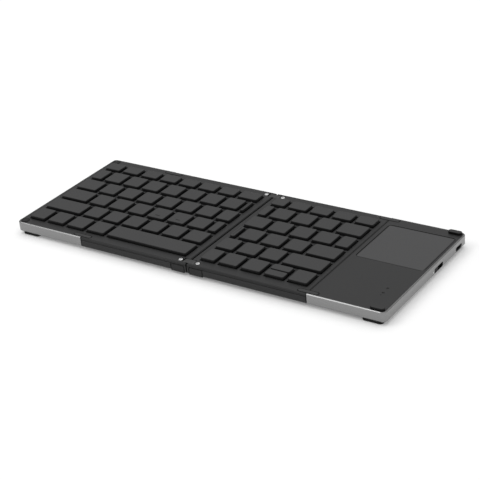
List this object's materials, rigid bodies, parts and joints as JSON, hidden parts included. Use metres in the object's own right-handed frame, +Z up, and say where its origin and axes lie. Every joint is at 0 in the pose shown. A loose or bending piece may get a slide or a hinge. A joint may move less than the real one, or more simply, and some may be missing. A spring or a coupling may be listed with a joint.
{
  "type": "folding keyboard",
  "caption": "Slim folding keyboard with a touchpad, opened flat: two halves on a twin-axis hinge, metal end shells, sprung low key caps and corner pads.",
  "frame": {"origin": "middle of the footprint of the opened keyboard, on the plane that its feet stand on; the fold line crosses it", "axes": "+X to the right along the rows of keys, +Y from the front edge to the back edge, +Z up"},
  "size_m": [0.3046, 0.118, 0.0125],
  "materials": {
    "satin_metal": "satin blasted grey metal with a bright cut bevel",
    "frame_plastic": "fine matte moulded black",
    "leaf_plastic": "fine matte moulded black",
    "bright_screws": "bright plated",
    "strip_rubber": "matte dark grey rubber",
    "foot_rubber": "matte black rubber",
    "plate_steel": "blackened steel sheet",
    "membrane_film": "black film",
    "flex_film": "amber film",
    "deck_plastic": "fine matte dark grey",
    "key_plastic": "fine matte dark grey",
    "link_metal": "dark coated die-cast metal",
    "pin_steel": "plain steel",
    "pad_rubber": "matte dark rubber",
    "cover_plastic": "smooth dark grey, finer than the deck",
    "touch_film": "finely woven matte film",
    "board_laminate": "green laminate",
    "battery_foil": "plain foil pouch",
    "socket_steel": "plain steel",
    "switch_plastic": "matte black",
    "light_lens": "clear milky lens",
    "indicator_lens": "smoked lens"
  },
  "bodies": {
    "right_half": {"right_end_shell": "satin_metal", "right_centre_frame": "frame_plastic", "right_hinge_leaves": "leaf_plastic", "right_deck_screws": "bright_screws", "right_seam_strips": "strip_rubber", "right_feet": "foot_rubber", "right_key_plate": "plate_steel", "right_membrane": "membrane_film", "right_flex_cable": "flex_film", "right_deck": "deck_plastic", "raised_pads": "pad_rubber", "touchpad_cover": "cover_plastic", "touchpad_plate": "touch_film", "touchpad_board": "board_laminate", "main_board": "board_laminate", "battery": "battery_foil", "usb_socket": "socket_steel", "power_switch": "switch_plastic", "status_light": "light_lens", "indicator_lights": "indicator_lens"},
    "hinge_links": {"front_link": "link_metal", "back_link": "link_metal", "hinge_pins": "pin_steel"},
    "left_half": {"left_end_shell": "satin_metal", "left_centre_frame": "frame_plastic", "left_hinge_leaves": "leaf_plastic", "left_deck_screws": "bright_screws", "left_seam_strips": "strip_rubber", "left_feet": "foot_rubber", "left_key_plate": "plate_steel", "left_membrane": "membrane_film", "left_flex_cable": "flex_film", "left_deck": "deck_plastic", "round_pads": "pad_rubber"},
    "power_knob": {"power_knob": "switch_plastic"},
    "left_keys_row_1": {"left_keys_row_1": "key_plastic"},
    "left_keys_row_2": {"left_keys_row_2": "key_plastic"},
    "left_keys_row_3": {"left_keys_row_3": "key_plastic"},
    "left_keys_row_4": {"left_keys_row_4": "key_plastic"},
    "left_keys_row_5": {"left_keys_row_5": "key_plastic"},
    "left_keys_row_6": {"left_keys_row_6": "key_plastic"},
    "tab_key": {"tab_key": "key_plastic"},
    "caps_key": {"caps_key": "key_plastic"},
    "left_shift_key": {"left_shift_key": "key_plastic"},
    "space_bar": {"space_bar": "key_plastic"},
    "right_keys_row_1": {"right_keys_row_1": "key_plastic"},
    "right_keys_row_2": {"right_keys_row_2": "key_plastic"},
    "right_keys_row_3": {"right_keys_row_3": "key_plastic"},
    "right_keys_row_4": {"right_keys_row_4": "key_plastic"},
    "right_keys_row_5": {"right_keys_row_5": "key_plastic"},
    "right_keys_row_6": {"right_keys_row_6": "key_plastic"},
    "backspace_key": {"backspace_key": "key_plastic"},
    "enter_key": {"enter_key": "key_plastic"},
    "right_shift_key": {"right_shift_key": "key_plastic"},
    "left_arrow_key": {"left_arrow_key": "key_plastic"},
    "up_arrow_key": {"up_arrow_key": "key_plastic"},
    "down_arrow_key": {"down_arrow_key": "key_plastic"},
    "right_arrow_key": {"right_arrow_key": "key_plastic"}
  },
  "joints": [
    {"name": "right_fold", "type": "hinge", "parent": "right_half", "child": "hinge_links", "pos_m": [0.00367, 0, 0.0087], "axis": [0, 1, 0], "range_deg": [0, 90]},
    {"name": "left_fold", "type": "hinge", "parent": "hinge_links", "child": "left_half", "pos_m": [-0.00367, 0, 0.0087], "axis": [0, 1, 0], "range_deg": [0, 90]},
    {"name": "power_slide", "type": "slide", "parent": "right_half", "child": "power_knob", "axis": [0, 1, 0], "range_m": [0, 0.004]},
    {"name": "left_keys_row_1_press", "type": "slide", "parent": "left_half", "child": "left_keys_row_1", "axis": [0, 0, -1], "range_m": [0, 0.0013], "stiffness_N_per_m": 3200, "springref_m": -0.0005},
    {"name": "left_keys_row_2_press", "type": "slide", "parent": "left_half", "child": "left_keys_row_2", "axis": [0, 0, -1], "range_m": [0, 0.0013], "stiffness_N_per_m": 3600, "springref_m": -0.0005},
    {"name": "left_keys_row_3_press", "type": "slide", "parent": "left_half", "child": "left_keys_row_3", "axis": [0, 0, -1], "range_m": [0, 0.0013], "stiffness_N_per_m": 2800, "springref_m": -0.0005},
    {"name": "left_keys_row_4_press", "type": "slide", "parent": "left_half", "child": "left_keys_row_4", "axis": [0, 0, -1], "range_m": [0, 0.0013], "stiffness_N_per_m": 2800, "springref_m": -0.0005},
    {"name": "left_keys_row_5_press", "type": "slide", "parent": "left_half", "child": "left_keys_row_5", "axis": [0, 0, -1], "range_m": [0, 0.0013], "stiffness_N_per_m": 2400, "springref_m": -0.0005},
    {"name": "left_keys_row_6_press", "type": "slide", "parent": "left_half", "child": "left_keys_row_6", "axis": [0, 0, -1], "range_m": [0, 0.0013], "stiffness_N_per_m": 1600, "springref_m": -0.0005},
    {"name": "tab_key_press", "type": "slide", "parent": "left_half", "child": "tab_key", "axis": [0, 0, -1], "range_m": [0, 0.0013], "stiffness_N_per_m": 400, "springref_m": -0.0005},
    {"name": "caps_key_press", "type": "slide", "parent": "left_half", "child": "caps_key", "axis": [0, 0, -1], "range_m": [0, 0.0013], "stiffness_N_per_m": 400, "springref_m": -0.0005},
    {"name": "left_shift_key_press", "type": "slide", "parent": "left_half", "child": "left_shift_key", "axis": [0, 0, -1], "range_m": [0, 0.0013], "stiffness_N_per_m": 400, "springref_m": -0.0005},
    {"name": "space_bar_press", "type": "slide", "parent": "left_half", "child": "space_bar", "axis": [0, 0, -1], "range_m": [0, 0.0013], "stiffness_N_per_m": 400, "springref_m": -0.0005},
    {"name": "right_keys_row_1_press", "type": "slide", "parent": "right_half", "child": "right_keys_row_1", "axis": [0, 0, -1], "range_m": [0, 0.0013], "stiffness_N_per_m": 2000, "springref_m": -0.0005},
    {"name": "right_keys_row_2_press", "type": "slide", "parent": "right_half", "child": "right_keys_row_2", "axis": [0, 0, -1], "range_m": [0, 0.0013], "stiffness_N_per_m": 1600, "springref_m": -0.0005},
    {"name": "right_keys_row_3_press", "type": "slide", "parent": "right_half", "child": "right_keys_row_3", "axis": [0, 0, -1], "range_m": [0, 0.0013], "stiffness_N_per_m": 2000, "springref_m": -0.0005},
    {"name": "right_keys_row_4_press", "type": "slide", "parent": "right_half", "child": "right_keys_row_4", "axis": [0, 0, -1], "range_m": [0, 0.0013], "stiffness_N_per_m": 1600, "springref_m": -0.0005},
    {"name": "right_keys_row_5_press", "type": "slide", "parent": "right_half", "child": "right_keys_row_5", "axis": [0, 0, -1], "range_m": [0, 0.0013], "stiffness_N_per_m": 1200, "springref_m": -0.0005},
    {"name": "right_keys_row_6_press", "type": "slide", "parent": "right_half", "child": "right_keys_row_6", "axis": [0, 0, -1], "range_m": [0, 0.0013], "stiffness_N_per_m": 800, "springref_m": -0.0005},
    {"name": "backspace_key_press", "type": "slide", "parent": "right_half", "child": "backspace_key", "axis": [0, 0, -1], "range_m": [0, 0.0013], "stiffness_N_per_m": 400, "springref_m": -0.0005},
    {"name": "enter_key_press", "type": "slide", "parent": "right_half", "child": "enter_key", "axis": [0, 0, -1], "range_m": [0, 0.0013], "stiffness_N_per_m": 400, "springref_m": -0.0005},
    {"name": "right_shift_key_press", "type": "slide", "parent": "right_half", "child": "right_shift_key", "axis": [0, 0, -1], "range_m": [0, 0.0013], "stiffness_N_per_m": 400, "springref_m": -0.0005},
    {"name": "left_arrow_key_press", "type": "slide", "parent": "right_half", "child": "left_arrow_key", "axis": [0, 0, -1], "range_m": [0, 0.0013], "stiffness_N_per_m": 400, "springref_m": -0.0005},
    {"name": "up_arrow_key_press", "type": "slide", "parent": "right_half", "child": "up_arrow_key", "axis": [0, 0, -1], "range_m": [0, 0.0013], "stiffness_N_per_m": 400, "springref_m": -0.0005},
    {"name": "down_arrow_key_press", "type": "slide", "parent": "right_half", "child": "down_arrow_key", "axis": [0, 0, -1], "range_m": [0, 0.0013], "stiffness_N_per_m": 400, "springref_m": -0.0005},
    {"name": "right_arrow_key_press", "type": "slide", "parent": "right_half", "child": "right_arrow_key", "axis": [0, 0, -1], "range_m": [0, 0.0013], "stiffness_N_per_m": 400, "springref_m": -0.0005}
  ]
}
